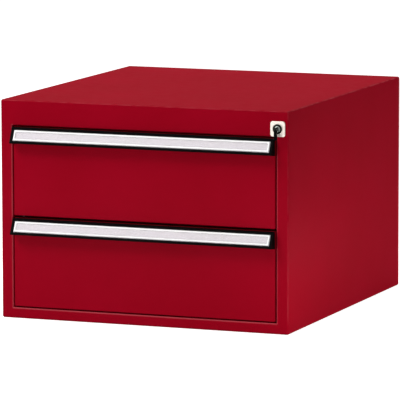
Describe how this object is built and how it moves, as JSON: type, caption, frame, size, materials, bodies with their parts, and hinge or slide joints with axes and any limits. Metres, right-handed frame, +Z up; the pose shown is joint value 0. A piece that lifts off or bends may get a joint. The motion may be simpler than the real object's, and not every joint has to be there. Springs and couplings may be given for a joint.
{
  "type": "workbench drawer unit",
  "caption": "Low red sheet-steel drawer housing with stacked pull-out drawers, full-width black grip handles with label strips, and a key lock in the top rail.",
  "frame": {"origin": "middle of the housing's bottom face", "axes": "+X to the right seen from the front, the drawer fronts face -Y, +Z up"},
  "size_m": [0.5, 0.568, 0.36],
  "materials": {
    "red_paint": "ruby red powder coat, satin gloss",
    "tray_grey": "light grey powder coat",
    "zinc_steel": "bright zinc plate",
    "cage_steel": "pressed steel strip with polished balls",
    "black_plastic": "black fine-grained plastic",
    "label_paper": "white card",
    "clear_cover": "clear plastic strip",
    "lock_metal": "matt nickel plate",
    "plug_metal": "turned nickel",
    "guide_plastic": "natural acetal"
  },
  "bodies": {
    "housing": {"side_panel_right": "red_paint", "side_panel_left": "red_paint", "top_panel": "red_paint", "bottom_panel": "red_paint", "back_panel": "red_paint", "front_post_right": "zinc_steel", "front_post_left": "zinc_steel", "rear_post_right": "zinc_steel", "rear_post_left": "zinc_steel", "runner_rivets": "zinc_steel", "lock_plate": "lock_metal", "lock_barrel": "lock_metal", "lock_nut": "lock_metal", "lock_bar_guides": "guide_plastic", "runner_fixed_lower_right": "zinc_steel", "runner_fixed_lower_left": "zinc_steel", "runner_fixed_upper_right": "zinc_steel", "runner_fixed_upper_left": "zinc_steel"},
    "lower_drawer": {"drawer_lower_front": "red_paint", "drawer_lower_tray": "tray_grey", "drawer_lower_inner_front": "tray_grey", "drawer_lower_back": "tray_grey", "handle_lower_profile": "black_plastic", "handle_lower_end_cap_right": "black_plastic", "handle_lower_end_cap_left": "black_plastic", "label_lower_strip": "label_paper", "label_lower_cover": "clear_cover", "handle_lower_screws": "zinc_steel", "catch_lower": "zinc_steel", "runner_drawer_lower_right": "zinc_steel", "runner_drawer_lower_left": "zinc_steel"},
    "lower_middle_runners": {"runner_middle_lower_right": "zinc_steel", "runner_middle_lower_left": "zinc_steel"},
    "lower_outer_cages": {"cage_outer_lower": "cage_steel"},
    "lower_inner_cages": {"cage_inner_lower": "cage_steel"},
    "upper_drawer": {"drawer_upper_front": "red_paint", "drawer_upper_tray": "tray_grey", "drawer_upper_inner_front": "tray_grey", "drawer_upper_back": "tray_grey", "handle_upper_profile": "black_plastic", "handle_upper_end_cap_right": "black_plastic", "handle_upper_end_cap_left": "black_plastic", "label_upper_strip": "label_paper", "label_upper_cover": "clear_cover", "handle_upper_screws": "zinc_steel", "catch_upper": "zinc_steel", "runner_drawer_upper_right": "zinc_steel", "runner_drawer_upper_left": "zinc_steel"},
    "upper_middle_runners": {"runner_middle_upper_right": "zinc_steel", "runner_middle_upper_left": "zinc_steel"},
    "upper_outer_cages": {"cage_outer_upper": "cage_steel"},
    "upper_inner_cages": {"cage_inner_upper": "cage_steel"},
    "lock_cylinder": {"lock_plug": "plug_metal", "lock_cam": "zinc_steel", "key_blade": "zinc_steel", "key_pin": "zinc_steel"},
    "key_grip": {"key_bow": "black_plastic"},
    "locking_bar": {"lock_bar": "zinc_steel"}
  },
  "joints": [
    {"name": "lower_drawer_slide", "type": "slide", "parent": "housing", "child": "lower_drawer", "axis": [0, -1, 0], "range_m": [0, 0.45]},
    {"name": "lower_middle_runners_slide", "type": "slide", "parent": "housing", "child": "lower_middle_runners", "axis": [0, -1, 0], "range_m": [0, 0.225]},
    {"name": "lower_outer_cages_slide", "type": "slide", "parent": "housing", "child": "lower_outer_cages", "axis": [0, -1, 0], "range_m": [0, 0.1125]},
    {"name": "lower_inner_cages_slide", "type": "slide", "parent": "housing", "child": "lower_inner_cages", "axis": [0, -1, 0], "range_m": [0, 0.3375]},
    {"name": "upper_drawer_slide", "type": "slide", "parent": "housing", "child": "upper_drawer", "axis": [0, -1, 0], "range_m": [0, 0.45]},
    {"name": "upper_middle_runners_slide", "type": "slide", "parent": "housing", "child": "upper_middle_runners", "axis": [0, -1, 0], "range_m": [0, 0.225]},
    {"name": "upper_outer_cages_slide", "type": "slide", "parent": "housing", "child": "upper_outer_cages", "axis": [0, -1, 0], "range_m": [0, 0.1125]},
    {"name": "upper_inner_cages_slide", "type": "slide", "parent": "housing", "child": "upper_inner_cages", "axis": [0, -1, 0], "range_m": [0, 0.3375]},
    {"name": "lock_turn", "type": "hinge", "parent": "housing", "child": "lock_cylinder", "pos_m": [0.2325, -0.278, 0.3315], "axis": [0, -1, 0], "range_deg": [0, 90]},
    {"name": "key_fold", "type": "hinge", "parent": "lock_cylinder", "child": "key_grip", "pos_m": [0.2325, -0.2866, 0.3315], "axis": [-1, 0, 0], "range_deg": [0, 90]},
    {"name": "locking_bar_lift", "type": "slide", "parent": "housing", "child": "locking_bar", "axis": [0, 0, 1], "range_m": [0, 0.01131]}
  ],
  "couplings": [
    {"joint": "lower_middle_runners_slide", "follows": "lower_drawer_slide", "ratio": 0.5},
    {"joint": "lower_outer_cages_slide", "follows": "lower_drawer_slide", "ratio": 0.25},
    {"joint": "lower_inner_cages_slide", "follows": "lower_drawer_slide", "ratio": 0.75},
    {"joint": "upper_middle_runners_slide", "follows": "upper_drawer_slide", "ratio": 0.5},
    {"joint": "upper_outer_cages_slide", "follows": "upper_drawer_slide", "ratio": 0.25},
    {"joint": "upper_inner_cages_slide", "follows": "upper_drawer_slide", "ratio": 0.75},
    {"joint": "lock_turn", "follows": "locking_bar_lift", "rad_per_m": 138.84}
  ]
}
